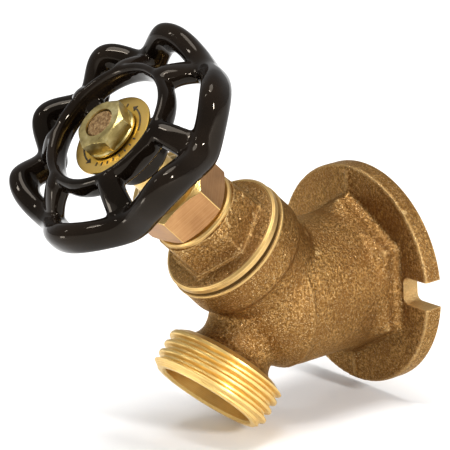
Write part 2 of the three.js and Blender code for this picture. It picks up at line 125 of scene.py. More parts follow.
STEM_TILT = math.radians(46.5)
SPOUT_TILT = math.radians(45.0)
STEM = axis_frame(-22.8, (-math.cos(STEM_TILT), math.sin(STEM_TILT)))
SPOUT = axis_frame(-28.0, (-math.cos(SPOUT_TILT), -math.sin(SPOUT_TILT)))
INLET = axis_frame(0.0, (-1, 0))


# ---------------------------------------------------------------- mesh tools

def new_object(name, verts, faces):
    mesh = bpy.data.meshes.new(name)
    mesh.from_pydata([tuple(v) for v in verts], [], faces)
    mesh.update()
    obj = bpy.data.objects.new(name, mesh)
    bpy.context.scene.collection.objects.link(obj)
    return obj


def skin(name, rows, capped=True):
    """Surface through rings of points (rings x points x 3): capped at both ends, or joined end to end."""
    rings, around = rows.shape[:2]
    faces = []
    for i in range(rings - 1 if capped else rings):
        ahead = (i + 1) % rings
        for j in range(around):
            k = (j + 1) % around
            faces.append((i * around + j, i * around + k, ahead * around + k, ahead * around + j))
    if capped:
        faces.append(tuple(reversed(range(around))))
        faces.append(tuple(range((rings - 1) * around, rings * around)))
    return new_object(name, rows.reshape(-1, 3), faces)


def turned(name, profile, around=128, radius_at=None):
    """Turned piece about +Z from (radius, height) points; a closed ring where none touches the axis."""
    turns = np.linspace(0, 2 * math.pi, around, endpoint=False)
    rows = []
    for radius, height in profile:
        r = np.full(around, float(radius))
        if radius_at:
            r = np.minimum(r, radius_at(turns))
        rows.append(np.stack([r * np.cos(turns), r * np.sin(turns), np.full(around, height)], axis=1))
    solid_end = min(profile[0][0], profile[-1][0]) < 1
    return skin(name, np.array(rows), capped=solid_end)


def hexagon(flat, turn):
    """Radius of a hexagon in any direction; one corner is at angle turn."""
    sector = math.pi / 3

    def radius(turns):
        return flat / 2 / np.cos((turns - turn) % sector - sector / 2)
    return radius


def prism(name, outline, bottom, top):
    """Straight prism along +Z from a closed outline of (x, y) points."""
    ring = np.array(outline, float)
    rows = [np.column_stack([ring, np.full(len(ring), z)]) for z in (bottom, top)]
    return skin(name, np.array(rows))


def moved(obj, matrix):
    obj.data.transform(matrix)
    return obj


def joined(name, parts):
    """One object from several, their shells left as they are."""
    merged = bmesh.new()
    for part in parts:
        merged.from_mesh(part.data)
        bpy.data.objects.remove(part)
    mesh = bpy.data.meshes.new(name)
    merged.to_mesh(mesh)
    merged.free()
    obj = bpy.data.objects.new(name, mesh)
    bpy.context.scene.collection.objects.link(obj)
    return obj


def baked(obj):
    """Replaces the mesh with what its modifiers make of it."""
    graph = bpy.context.evaluated_depsgraph_get()
    graph.update()
    mesh = bpy.data.meshes.new_from_object(obj.evaluated_get(graph))
    obj.modifiers.clear()
    obj.data = mesh
    return obj


def cut(obj, cutter, operation="DIFFERENCE"):
    modifier = obj.modifiers.new("cut", "BOOLEAN")
    modifier.operation = operation
    modifier.object = cutter
    modifier.solver = "EXACT"
    baked(obj)
    bpy.data.objects.remove(cutter)
    return obj


def melted(obj, voxel, passes):
    """Runs overlapping shells into one skin with rounded inner and outer corners, as a casting has."""
    remesh = obj.modifiers.new("remesh", "REMESH")
    remesh.mode = "VOXEL"
    remesh.voxel_size = voxel
    smooth = obj.modifiers.new("smooth", "SMOOTH")
    smooth.factor = 0.5
    smooth.iterations = passes
    return baked(obj)


def smoothed_where(obj, weight, passes):
    """More smoothing where weight(x, y, z) is near 1."""
    group = obj.vertex_groups.new(name="soft")
    for vertex in obj.data.vertices:
        amount = weight(*vertex.co)
        if amount > 0:
            group.add([vertex.index], amount, "REPLACE")
    smooth = obj.modifiers.new("smooth", "SMOOTH")
    smooth.factor = 0.5
    smooth.iterations = passes
    smooth.vertex_group = "soft"
    baked(obj)
    obj.vertex_groups.clear()
    return obj


def placed(obj, where, body, nodes, material, sharp=35.0):
    """Puts a finished piece in the row frame, in metres, and ties it to its CAD body and nodes."""
    obj.data.transform(Matrix.Scale(MM, 4) @ where)
    for one in material if isinstance(material, list) else [material]:
        obj.data.materials.append(one)
    shape = bmesh.new()
    shape.from_mesh(obj.data)
    bmesh.ops.recalc_face_normals(shape, faces=shape.faces)
    limit = math.radians(sharp)
    for edge in shape.edges:
        edge.smooth = len(edge.link_faces) == 2 and edge.calc_face_angle(0) < limit
    for face in shape.faces:
        face.smooth = True
    shape.to_mesh(obj.data)
    shape.free()
    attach(obj, body)
    if nodes:
        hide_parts(*nodes)
    return obj


# ---------------------------------------------------------------- material tools

def clamp01(value):
    return min(1.0, max(0.0, value))


class Nodes:
    """Small helper that adds and links shader nodes."""

    def __init__(self, name):
        self.material = bpy.data.materials.new(name)
        self.material.use_nodes = True
        self.tree = self.material.node_tree
        self.shader = self.tree.nodes["Principled BSDF"]

    def add(self, kind, settings=None, **inputs):
        node = self.tree.nodes.new(kind)
        for key, value in (settings or {}).items():
            setattr(node, key, value)
        for key, value in inputs.items():
            self.feed(node.inputs[key.replace("_", " ")], value)
        return node

    def feed(self, socket, value):
        if isinstance(value, bpy.types.NodeSocket):
            self.tree.links.new(value, socket)
        else:
            socket.default_value = value

    def where(self):
        return self.add("ShaderNodeTexCoord").outputs["Object"]

    def noise(self, scale, detail=4.0, roughness=0.55, vector=None):
        node = self.add("ShaderNodeTexNoise", None, Scale=scale, Detail=detail, Roughness=roughness)
        self.feed(node.inputs["Vector"], vector or self.where())
        return node.outputs["Fac"]

    def ramp(self, value, *stops):
        node = self.add("ShaderNodeValToRGB")
        elements = node.color_ramp.elements
        while len(elements) < len(stops):
            elements.new(0.5)
        for element, (position, colour) in zip(elements, stops):
            element.position = position
            element.color = (*colour, 1.0) if len(colour) == 3 else colour
        self.feed(node.inputs["Fac"], value)
        return node.outputs["Color"]

    def span(self, value, from_low, from_high, to_low, to_high):
        node = self.add("ShaderNodeMapRange", {"clamp": True})
        self.feed(node.inputs["Value"], value)
        limits = {"From Min": from_low, "From Max": from_high, "To Min": to_low, "To Max": to_high}
        for key, number in limits.items():
            node.inputs[key].default_value = number
        return node.outputs["Result"]

    def math(self, operation, a, b):
        node = self.add("ShaderNodeMath", {"operation": operation})
        self.feed(node.inputs[0], a)
        self.feed(node.inputs[1], b)
        return node.outputs["Value"]

    def mix(self, amount, first, second, mode="MIX"):
        node = self.add("ShaderNodeMix", {"data_type": "RGBA", "blend_type": mode})
        self.feed(node.inputs["Factor"], amount)
        for socket, value in ((node.inputs[6], first), (node.inputs[7], second)):
            self.feed(socket, (*value, 1.0) if isinstance(value, tuple) and len(value) == 3 else value)
        return node.outputs[2]

    def bump(self, height, strength, distance, normal=None):
        node = self.add("ShaderNodeBump", None, Strength=strength, Distance=distance)
        self.feed(node.inputs["Height"], height)
        if normal:
            self.feed(node.inputs["Normal"], normal)
        return node.outputs["Normal"]

    def finish(self, **inputs):
        for key, value in inputs.items():
            self.feed(self.shader.inputs[key.replace("_", " ")], value)
        return self.material


def along_axis(nodes, axis_matrix):
    """Distance along a turned piece's axis and distance from it, in metres, as sockets."""
    start = axis_matrix.translation * MM
    direction = axis_matrix.to_3x3() @ Vector((0, 0, 1))
    shift = nodes.add("ShaderNodeVectorMath", {"operation": "SUBTRACT"})
    nodes.feed(shift.inputs[0], nodes.where())
    shift.inputs[1].default_value = start
    dot = nodes.add("ShaderNodeVectorMath", {"operation": "DOT_PRODUCT"})
    nodes.feed(dot.inputs[0], shift.outputs[0])
    dot.inputs[1].default_value = direction
    return dot.outputs["Value"]


def cast_bronze():
    """Sand-cast, tumbled bronze: sparkling grain, painted shade darkening the hollows, worn yellow on the
    edges.
    """
    n = Nodes("cast_bronze")
    grain = n.noise(4000.0, detail=2.0, roughness=0.6)
    sand = n.noise(1900.0, detail=3.0, roughness=0.6)
    cloud = n.noise(130.0, detail=3.0)
    pointy = n.add("ShaderNodeNewGeometry").outputs["Pointiness"]
    tone = n.ramp(sand, (0.32, (0.105, 0.045, 0.010)), (0.50, (0.215, 0.105, 0.026)),
                  (0.68, (0.47, 0.27, 0.090)))
    warm = n.mix(n.span(cloud, 0.40, 0.62, 0.0, 0.65), tone, (0.180, 0.080, 0.020))
    # Painted shade: the colour goes dark brown where the surface is hollow, in place of the shade that
    # falls in creases and cavities.
    hollow_shade = n.span(pointy, 0.42, 0.495, 0.8, 0.0)
    shaded_in_hollows = n.mix(hollow_shade, warm, (0.050, 0.022, 0.006))
    worn = n.span(pointy, 0.512, 0.56, 0.0, 0.7)
    colour = n.mix(worn, shaded_in_hollows, (0.60, 0.40, 0.17))
    speck = n.span(grain, 0.58, 0.69, 0.0, 0.65)
    sparkle = n.mix(speck, colour, (0.85, 0.64, 0.34))
    rough = n.span(grain, 0.40, 0.65, 0.50, 0.27)
    coarse = n.bump(sand, 0.9, 0.0003)
    fine = n.bump(grain, 0.8, 0.00016, coarse)
    return n.finish(Base_Color=sparkle, Metallic=0.93, Roughness=rough, Normal=fine,
                    Specular_Tint=(1.0, 0.84, 0.60, 1.0))


def turned_brass(name, axis_matrix, colour=(0.80, 0.54, 0.17), deep=(0.52, 0.29, 0.065),
                 lines=9000.0, dull=0.0):
    """Bright brass with fine lathe lines round its axis and a little handling stain."""
    n = Nodes(name)
    along = along_axis(n, axis_matrix)
    line = n.add("ShaderNodeTexNoise", {"noise_dimensions": "1D"}, Scale=lines, Detail=3.0, Roughness=0.7)
    n.feed(line.inputs["W"], along)
    stain = n.noise(260.0, detail=5.0)
    tone = n.mix(n.span(stain, 0.35, 0.68, 0.0, 0.65), colour, deep)
    streak = n.mix(n.span(line.outputs["Fac"], 0.40, 0.68, 0.0, 0.45), tone, (0.95, 0.76, 0.40))
    rough = n.span(stain, 0.3, 0.7, 0.24 + dull, 0.40 + dull)
    normal = n.bump(line.outputs["Fac"], 0.25, 0.00004)
    return n.finish(Base_Color=streak, Metallic=1.0, Roughness=rough, Normal=normal)


def tinted_brass():
    """Machined hexagon flats gone pinkish brown, with faint milling marks."""
    n = Nodes("tinted_brass")
    along = along_axis(n, STEM)
    line = n.add("ShaderNodeTexNoise", {"noise_dimensions": "1D"}, Scale=5200.0, Detail=2.0, Roughness=0.6)
    n.feed(line.inputs["W"], along)
    cloud = n.noise(170.0, detail=4.0)
    tone = n.ramp(cloud, (0.30, (0.28, 0.130, 0.045)), (0.55, (0.38, 0.190, 0.072)),
                  (0.75, (0.48, 0.27, 0.11)))
    milled = n.mix(n.span(line.outputs["Fac"], 0.42, 0.70, 0.0, 0.25), tone, (0.66, 0.42, 0.22))
    rough = n.span(cloud, 0.3, 0.7, 0.34, 0.48)
    normal = n.bump(line.outputs["Fac"], 0.2, 0.00004)
    return n.finish(Base_Color=milled, Metallic=0.9, Roughness=rough, Normal=normal)


def black_enamel():
    """Dipped enamel: nearly black, very glossy, slightly uneven where it ran."""
    n = Nodes("black_enamel")
    run = n.noise(115.0, detail=2.0, roughness=0.4)
    dust = n.noise(2600.0, detail=2.0)
    colour = n.mix(n.span(run, 0.35, 0.7, 0.0, 1.0), (0.0030, 0.0019, 0.0012), (0.0085, 0.0055, 0.0036))
    rough = n.span(dust, 0.55, 0.75, 0.055, 0.16)
    normal = n.bump(run, 0.35, 0.0012)
    return n.finish(Base_Color=colour, Roughness=rough, Normal=normal, Specular_IOR_Level=0.17,
                    Specular_Tint=(1.0, 0.86, 0.70, 1.0))


def yellow_zinc():
    """Zinc plate with a pale yellow passivate, mottled and faintly green."""
    n = Nodes("yellow_zinc")
    patch = n.noise(420.0, detail=4.0)
    grain = n.noise(3800.0, detail=2.0)
    tone = n.ramp(patch, (0.30, (0.30, 0.22, 0.07)), (0.52, (0.48, 0.38, 0.15)), (0.72, (0.64, 0.56, 0.30)))
    colour = n.mix(n.span(grain, 0.55, 0.72, 0.0, 0.5), tone, (0.36, 0.27, 0.10))
    return n.finish(Base_Color=colour, Metallic=0.95, Roughness=n.span(patch, 0.3, 0.7, 0.26, 0.46),
                    Normal=n.bump(grain, 0.3, 0.00005))


def raw_end():
    """The stem's sawn and peened end: dull, pitted, brown brass."""
    n = Nodes("raw_end")
    pit = n.noise(1500.0, detail=4.0, roughness=0.7)
    colour = n.ramp(pit, (0.32, (0.09, 0.045, 0.016)), (0.50, (0.26, 0.15, 0.06)),
                    (0.70, (0.52, 0.36, 0.17)))
    return n.finish(Base_Color=colour, Metallic=0.85, Roughness=n.span(pit, 0.3, 0.7, 0.6, 0.4),
                    Normal=n.bump(pit, 0.8, 0.0002))


def rubber():
    """Black washer rubber with a faint grey bloom."""
    n = Nodes("rubber")
    bloom = n.noise(900.0, detail=4.0)
    colour = n.ramp(bloom, (0.35, (0.012, 0.012, 0.012)), (0.7, (0.045, 0.043, 0.040)))
    return n.finish(Base_Color=colour, Roughness=n.span(bloom, 0.3, 0.7, 0.75, 0.92),
                    Normal=n.bump(bloom, 0.4, 0.0001))


def pressed_fibre():
    """Dark brown gasket fibre, matted and dull."""
    n = Nodes("pressed_fibre")
    mat = n.noise(1800.0, detail=5.0, roughness=0.7)
    colour = n.ramp(mat, (0.35, (0.035, 0.020, 0.012)), (0.7, (0.10, 0.065, 0.040)))
    return n.finish(Base_Color=colour, Roughness=n.span(mat, 0.3, 0.7, 0.8, 0.95),
                    Normal=n.bump(mat, 0.6, 0.0001))


def graphite_yarn():
    """Packing yarn rubbed with graphite."""
    n = Nodes("graphite_yarn")
    yarn = n.noise(1400.0, detail=4.0)
    colour = n.ramp(yarn, (0.35, (0.020, 0.020, 0.022)), (0.7, (0.075, 0.075, 0.080)))
    return n.finish(Base_Color=colour, Metallic=0.2, Roughness=n.span(yarn, 0.3, 0.7, 0.55, 0.75),
                    Normal=n.bump(yarn, 0.7, 0.00015))


def stamped_ink():
    """Dark paint left in the plate's stamped marks."""
    n = Nodes("stamped_ink")
    worn = n.noise(1500.0, detail=4.0)
    colour = n.ramp(worn, (0.40, (0.018, 0.012, 0.008)), (0.68, (0.10, 0.065, 0.022)))
    return n.finish(Base_Color=colour, Roughness=n.span(worn, 0.3, 0.7, 0.55, 0.75),
                    Normal=n.bump(worn, 0.4, 0.00005))


def pale_floor():
    """Near-white matt floor."""
    n = Nodes("pale_floor")
    mottle = n.noise(2.0, detail=2.0)
    colour = n.mix(n.span(mottle, 0.3, 0.7, 0.0, 1.0), (0.93, 0.93, 0.93), (0.96, 0.96, 0.96))
    return n.finish(Base_Color=colour, Roughness=n.span(mottle, 0.3, 0.7, 0.75, 0.8))


# ---------------------------------------------------------------- the casting

def arc(centre, radius, start, end, steps):
    """Points (x, y) along an arc, angles in degrees."""
    return [(centre[0] + radius * math.cos(math.radians(a)), centre[1] + radius * math.sin(math.radians(a)))
            for a in np.linspace(start, end, steps)]


def screw_slot(side):
    """Cutter for the open screw slot on one side of the flange, its inner corners rounded."""
    half = SLOT_W / 2
    corner = 1.5
    outline = [(side * (FLANGE_R + 3), half)] \
        + [(side * x, y) for x, y in arc((SLOT_END + corner, half - corner), corner, 90, 180, 6)] \
        + [(side * x, y) for x, y in arc((SLOT_END + corner, corner - half), corner, 180, 270, 6)] \
        + [(side * (FLANGE_R + 3), -half)]
    return moved(prism("slot", outline, -2, FLANGE_T + 4), INLET)


def casting_shells():
    """Overlapping closed shells of the body before they are melted together."""
    hex_corner = HEX_BOSS_FLAT / math.sqrt(3)
    dome = [(BARREL_R * math.cos(a), BARREL_END + BARREL_R * math.sin(a))
            for a in np.linspace(0, math.pi / 2 - 0.05, 14)]
    neck = [(0.2, -4), (9.5, -2.5), (12.2, 1), (13.0, 6), (13.1, 10), (13.2, 13.9), (NECK_R + 0.1, 14.9),
            (NECK_R, NECK_TOP + 2), (0.2, NECK_TOP + 2)]
    parting_ridge = [(14.0, 26.4), (15.35, 26.8), (15.45, 27.1), (15.1, 27.5), (14.0, 27.9)]
    spout = [(0.2, -2), (13.0, -2), (12.6, 2), (11.2, 4.8), (9.5, 7.4), (8.5, 10), (8.2, 12.0), (8.7, 13.6),
             (9.7, 14.8), (10.4, 15.6), (0.2, 15.6)]
    line_height = 0.55
    mould_line = [moved(prism("line", [(-0.45, side * BARREL_R), (0.45, side * BARREL_R),
                                       (0.45, side * (FLANGE_R - 1)), (-0.45, side * (FLANGE_R - 1))],
                              FLANGE_T - 1, FLANGE_T + line_height), INLET) for side in (1, -1)]
    return [
        moved(turned("flange", [(0.2, -1.5), (FLANGE_R, -1.5), (FLANGE_R, FLANGE_T),
                                (0.2, FLANGE_T)], 128), INLET),
        moved(turned("hex", [(0.2, 1), (hex_corner, 1), (hex_corner, HEX_BOSS_END - 1.7),
                             (HEX_BOSS_FLAT / 2, HEX_BOSS_END + 0.3), (0.2, HEX_BOSS_END + 0.3)],
                     180, hexagon(HEX_BOSS_FLAT, math.pi / 2)), INLET),
        moved(turned("bead", [(0.2, FLANGE_T - 1), (hex_corner + 0.6, FLANGE_T - 1),
                              (hex_corner + 0.6, FLANGE_T + 0.9), (0.2, FLANGE_T + 0.9)],
                     180, hexagon(HEX_BOSS_FLAT + 1.0, math.pi / 2)), INLET),
        moved(turned("barrel", [(0.2, 1), (BARREL_R, 1), *dome], 96), INLET),
        moved(turned("parting_ridge", parting_ridge, 96), INLET),
        moved(turned("neck", neck, 96), STEM),
        moved(turned("spout", spout, 96), SPOUT),
        *mould_line,
    ]


def junction_weight(x, y, z):
    """Near 1 where barrel, neck and spout run together, 0 at the flange and the spout's end."""
    from_wall = clamp01((-y - 12.0) / 6.0)
    along_spout = (Vector((x, y, z)) - SPOUT.translation).dot(SPOUT.to_3x3() @ Vector((0, 0, 1)))
    before_thread = clamp01((13.0 - along_spout) / 4.0)
    return from_wall * before_thread


def cast_body():
    """The body's casting with its screw slots, machined faces, bores and seat cut into it."""
    body = melted(joined("body_casting", casting_shells()), voxel=0.38, passes=5)
    smoothed_where(body, junction_weight, passes=7)
    cutters = [
        screw_slot(1),
        screw_slot(-1),
        moved(prism("wall", [(-40, -40), (40, -40), (40, 40), (-40, 40)], -9, 0), INLET),
        moved(prism("rim", [(-20, -20), (20, -20), (20, 20), (-20, 20)], NECK_TOP, NECK_TOP + 8), STEM),
        moved(turned("inlet", [(0.1, -2), (INLET_R + 1, -2), (INLET_R + 1, 0), (INLET_R, 1), (INLET_R, 15),
                               (WATERWAY_R, 16.5), (WATERWAY_R, BARREL_END), (0.1, BARREL_END)]), INLET),
        moved(turned("port", [(0.1, -5), (5.5, -5), (5.5, 7), (0.1, 7)]), STEM),
        moved(turned("chamber", [(0.1, 6), (6.9, 6), (6.9, 5), (11, 5), (11, 13.5), (NECK_BORE_R, 13.5),
                                 (NECK_BORE_R, NECK_TOP + 5), (0.1, NECK_TOP + 5)]), STEM),
        moved(turned("outlet", [(0.1, 5.2), (OUTLET_R, 5.2), (OUTLET_R, 20), (0.1, 20)]), SPOUT),
    ]
    for cutter in cutters:
        cut(body, cutter)
    return body


def thread_form(along):
    """0 at the root and 1 at the crest of the hose thread, at a distance along its axis."""
    wave = np.abs(((along / HOSE_PITCH) % 1.0) - 0.5) * 2
    form = np.clip((wave - 0.18) / 0.62, 0, 1)
    return form * form * (3 - 2 * form)


def hose_thread():
    """Helical external hose thread with its shoulder, lead-in, mouth face and bore."""
    around = 180
    steps = 16
    thread_start = 16.2
    thread_end = MOUTH - 0.25
    turns = np.linspace(0, 2 * math.pi, around, endpoint=False)
    levels = int((thread_end - thread_start) / HOSE_PITCH * steps)
    rows = []

    def ring(radius, height):
        radius = np.broadcast_to(radius, turns.shape)
        level = np.full(around, height)
        rows.append(np.stack([radius * np.cos(turns), radius * np.sin(turns), level], axis=1))

    for radius, height in ((9.0, 14.6), (9.9, 14.75), (11.4, 15.1), (12.3, 15.6), (12.8, 16.0)):
        ring(radius, height)
    root = HOSE_MINOR_R
    crest = HOSE_MAJOR_R
    for height in np.linspace(thread_start, thread_end, levels):
        form = thread_form(height - thread_start - HOSE_PITCH * turns / (2 * math.pi))
        shoulder = clamp01((thread_start + 0.8 - height) / 0.8)
        lead_in = clamp01((height - (MOUTH - 1.15)) / 0.9)
        top = crest - lead_in * (crest - root + 0.15)
        low = root + 0.05 + shoulder * 0.75
        ring(np.minimum(low + (crest - low) * form, top), height)
    for radius, height in ((HOSE_MINOR_R - 0.35, MOUTH), (MOUTH_R + 0.55, MOUTH), (MOUTH_R, MOUTH - 0.5),
                           (MOUTH_R, MOUTH - 7), (OUTLET_R, MOUTH - 8), (OUTLET_R, 14.6)):
        ring(radius, height)
    return skin("hose_thread", np.array(rows), capped=False)


# ---------------------------------------------------------------- bonnet and packing nut

def bonnet_casting():
    """The soft-cornered cast hexagon, with the bead round its bottom, on its round foot."""
    inside = BONNET_RIM_R - 0.65
    foot = turned("foot", [
        (0.2, BONNET_SEAT + 0.5), (inside, BONNET_SEAT + 0.5), (inside, BONNET_RIM_TOP - 0.1),
        (12.3, BONNET_RIM_TOP + 0.25), (10.8, BONNET_RIM_TOP + 0.6), (0.2, BONNET_RIM_TOP + 0.8),
    ], 96)
    corner = BONNET_HEX_FLAT / math.sqrt(3)
    hex_part = turned("hex", [
        (0.2, BONNET_RIM_TOP), (corner + 0.3, BONNET_RIM_TOP), (corner + 0.3, BONNET_HEX_TOP - 1.9),
        (COLLAR_R + 0.5, BONNET_HEX_TOP + 0.2), (0.2, BONNET_HEX_TOP + 0.2),
    ], 180, hexagon(BONNET_HEX_FLAT + 0.3, BONNET_HEX_TURN))
    bead = turned("bead", [
        (0.2, BONNET_RIM_TOP), (corner + 1.2, BONNET_RIM_TOP), (corner + 1.2, BONNET_RIM_TOP + 0.9),
        (corner + 0.7, BONNET_RIM_TOP + 1.25), (0.2, BONNET_RIM_TOP + 1.25),
    ], 180, hexagon(BONNET_HEX_FLAT + 1.5, BONNET_HEX_TURN))
    casting = melted(joined("bonnet_casting", [foot, hex_part, bead]), voxel=0.2, passes=3)
    bore_r = COLLAR_R - 1.2
    bore = turned("bore", [
        (0.1, BONNET_SEAT - 2), (bore_r, BONNET_SEAT - 2), (bore_r, BONNET_HEX_TOP + 2),
        (0.1, BONNET_HEX_TOP + 2),
    ], 96)
    return cut(casting, bore)


def bonnet_machined():
    """Turned parts of the bonnet: foot's edge and face, spigot, collar and stuffing box."""
    sleeve_r = COLLAR_R - 1.0
    spigot = [(9.4, 13.8), (11.2, 13.8), (11.2, BONNET_SEAT)]
    rim = [
        (BONNET_RIM_R - 0.15, BONNET_SEAT), (BONNET_RIM_R, BONNET_SEAT + 0.15),
        (BONNET_RIM_R, BONNET_RIM_TOP - 0.45), (BONNET_RIM_R - 0.5, BONNET_RIM_TOP),
        (BONNET_RIM_R - 1.2, BONNET_RIM_TOP - 0.3),
    ]
    collar = [
        (sleeve_r, BONNET_RIM_TOP - 0.3), (sleeve_r, BONNET_HEX_TOP - 0.4),
        (COLLAR_R, BONNET_HEX_TOP - 0.4), (COLLAR_R, COLLAR_TOP - 0.35), (COLLAR_R - 0.35, COLLAR_TOP),
        (7.6, COLLAR_TOP),
    ]
    stuffing_box = [(7.6, 36.5), (6.4, 36.5), (6.4, 31.4), (5.7, 31.4), (5.7, 21.8), (9.4, 21.8)]
    return turned("bonnet_machined", spigot + rim + collar + stuffing_box, 144)


def neck_rim():
    """Turned edge round the top of the body's neck, just under the bonnet."""
    inside = NECK_BORE_R + 0.3
    return turned("neck_rim", [
        (inside, NECK_TOP - 0.6), (NECK_R - 0.2, NECK_TOP - 0.75), (NECK_R + 0.12, NECK_TOP - 0.6),
        (NECK_R + 0.12, NECK_TOP - 0.2), (NECK_R - 0.1, NECK_TOP + 0.03), (inside, NECK_TOP + 0.03),
    ], 144)


def chamfered_hex(name, flat, turn, bottom, top, bore, crown=None, cut_bottom=True):
    """Hexagon nut whose corners are turned back to cones, with an optional turned crown on top."""
    corner = flat / math.sqrt(3)
    bevel = (corner - flat / 2 + 0.3) * math.tan(math.radians(30))
    steps = np.linspace(0, 1, 9)
    low = flat / 2 - 0.3
    high = corner + 0.02
    profile = [(bore, bottom)]
    if cut_bottom:
        profile += [(low + (high - low) * t, bottom + bevel * t) for t in steps]
    else:
        profile += [(high, bottom)]
    profile += [(high, bottom + (top - bottom) * t) for t in (0.3, 0.5, 0.7)]
    profile += [(high - (high - low) * t, top - bevel + bevel * t) for t in steps]
    profile += crown or []
    profile += [(bore, crown[-1][1] if crown else top)]
    return turned(name, profile, 360, hexagon(flat, turn))


def split_cones(obj, flat, turn):
    """Material 0 on the flats and 1 on the turned cones, crown and bore."""
    radius = hexagon(flat, turn)
    for face in obj.data.polygons:
        x, y = face.center.x, face.center.y
        on_flat = abs(math.hypot(x, y) - float(radius(np.array([math.atan2(y, x)]))[0])) < 0.03
        face.material_index = 0 if on_flat else 1


def packing_nut():
    """The nut round the stem, with a low crown."""
    nut = chamfered_hex("packing_nut_hex", NUT_FLAT, NUT_TURN, NUT_BOTTOM, NUT_TOP - 0.8, SHANK_R + 0.3,
                        crown=[(7.5, NUT_TOP - 0.75), (6.8, NUT_TOP - 0.2), (6.4, NUT_TOP)])
    split_cones(nut, NUT_FLAT, NUT_TURN)
    return nut


# ---------------------------------------------------------------- handwheel, plate and nut

def swept(name, path, half_width, half_height, closed=False, around=24):
    """Tube along a path of (x, y, z) points; its section is a plump oval that stays upright."""
    path = np.array(path, float)
    ahead = np.roll(path, -1, axis=0) - np.roll(path, 1, axis=0) if closed else np.gradient(path, axis=0)
    side = np.column_stack([-ahead[:, 1], ahead[:, 0], np.zeros(len(path))])
    side /= np.linalg.norm(side, axis=1)[:, None]
    turns = np.linspace(0, 2 * math.pi, around, endpoint=False)
    plump = 0.8
    across = np.sign(np.cos(turns)) * np.abs(np.cos(turns)) ** plump
    upward = np.sign(np.sin(turns)) * np.abs(np.sin(turns)) ** plump
    width = np.broadcast_to(half_width, len(path))[:, None, None]
    height = np.broadcast_to(half_height, len(path))[:, None, None]
    rows = path[:, None, :] + across[None, :, None] * side[:, None, :] * width \
        + upward[None, :, None] * np.array([0, 0, 1.0]) * height
    return skin(name, rows, capped=not closed)


def curve_through(points, closed=False, per_span=6):
    """Smooth curve through rows of numbers (a Catmull-Rom spline)."""
    points = np.array(points, float)
    count = len(points)
    curve = []
    for i in range(count if closed else count - 1):
        if closed:
            a, b, c, d = (points[(i + k) % count] for k in (-1, 0, 1, 2))
        else:
            a, b, c, d = points[max(i - 1, 0)], points[i], points[i + 1], points[min(i + 2, count - 1)]
        for t in np.linspace(0, 1, per_span, endpoint=False):
            curve.append(0.5 * (2 * b + (c - a) * t + (2 * a - 5 * b + 4 * c - d) * t ** 2
                                + (3 * b - a - 3 * c + d) * t ** 3))
    if not closed:
        curve.append(points[-1])
    return np.array(curve)


def petal_wave(turns):
    """1 in the middle of every petal, 0 in the valleys half way between two of them."""
    ahead = PETAL_TURNS + PETAL_TURNS[:1]
    wave = []
    first = PETAL_TURNS[0]
    for turn in np.degrees(turns) % 360:
        passed = [i for i in range(PETALS) if (turn - first) % 360 >= (PETAL_TURNS[i] - first) % 360]
        index = max(passed)
        gap = (ahead[index + 1] - ahead[index]) % 360
        share = (turn - ahead[index]) % 360 / gap
        wave.append((1 + math.cos(2 * math.pi * share)) / 2)
    return np.array(wave)


def wheel_rim():
    """Outer bar of the wheel: it stands out and up at each petal and dips in every valley."""
    turns = np.linspace(0, 2 * math.pi, 224, endpoint=False)
    wave = petal_wave(turns)
    radius = VALLEY_R + (PETAL_R - VALLEY_R) * wave
    level = VALLEY_LEVEL + (PETAL_LEVEL - VALLEY_LEVEL) * wave
    path = np.column_stack([radius * np.cos(turns), radius * np.sin(turns), level])
    return swept("rim", path, RIM_HALF_W, RIM_HALF_H, closed=True)


def wheel_ring():
    """Inner bar of the wheel, round the opening."""
    turns = np.linspace(0, 2 * math.pi, 96, endpoint=False)
    path = np.column_stack([RING_R * np.cos(turns), RING_R * np.sin(turns), 0 * turns + RING_LEVEL])
    return swept("ring", path, RING_HALF_W, RING_HALF_H, closed=True)


def wheel_arm(turn):
    """Arm between two slots, from a knuckle on the ring down to the rim's valley."""
    # Distance out, height on the stem axis, half width, half height.
    run = curve_through([(RING_R - 0.1, RING_LEVEL + 0.2, 2.4, 2.7), (16.5, 60.6, 2.6, 2.75),
                         (19.1, 58.4, 2.9, 2.75), (VALLEY_R, VALLEY_LEVEL, 3.4, 2.8)])
    path = np.column_stack([run[:, 0], 0 * run[:, 0], run[:, 1]])
    return moved(swept("arm", path, run[:, 2], run[:, 3]), Matrix.Rotation(math.radians(turn), 4, "Z"))


def wheel_spoke(turn):
    """Spoke from the hub, under the plate, up into the ring."""
    run = curve_through([(HUB_R - 2, HUB_TOP - 2.3, 2.5, 1.9), (PLATE_R - 1, HUB_TOP - 2.2, 2.3, 1.8),
                         (PLATE_R + 1.6, HUB_TOP - 1.0, 2.2, 1.8), (RING_R, RING_LEVEL - 0.8, 2.3, 1.7)])
    path = [(r * math.cos(turn), r * math.sin(turn), z) for r, z in run[:, :2]]
    return swept("spoke", path, run[:, 2], run[:, 3])


def handwheel():
    """The whole enamelled wheel, run together as one casting, with the square hole through its hub."""
    hub = turned("hub", [(0.2, HUB_BOTTOM), (HUB_R - 0.6, HUB_BOTTOM), (HUB_R, HUB_BOTTOM + 0.8),
                         (HUB_R, HUB_TOP - 0.8), (HUB_R - 0.8, HUB_TOP), (0.2, HUB_TOP)], 64)
    shells = [wheel_ring(), wheel_rim(), hub]
    for turn, following in zip(PETAL_TURNS, PETAL_TURNS[1:] + [PETAL_TURNS[0] + 360]):
        shells.append(wheel_arm((turn + following) / 2))
    shells += [wheel_spoke(math.radians(FIRST_SPOKE_TURN + 360 / SPOKES * i)) for i in range(SPOKES)]
    wheel = melted(joined("handwheel_enamel", shells), voxel=0.33, passes=10)
    moved(wheel, Matrix.Translation(WHEEL_SHIFT))
    half = SQUARE_HALF
    square = [(-half, -half), (half, -half), (half, half), (-half, half)]
    return cut(wheel, prism("hole", square, HUB_BOTTOM - 2, HUB_TOP + 2))


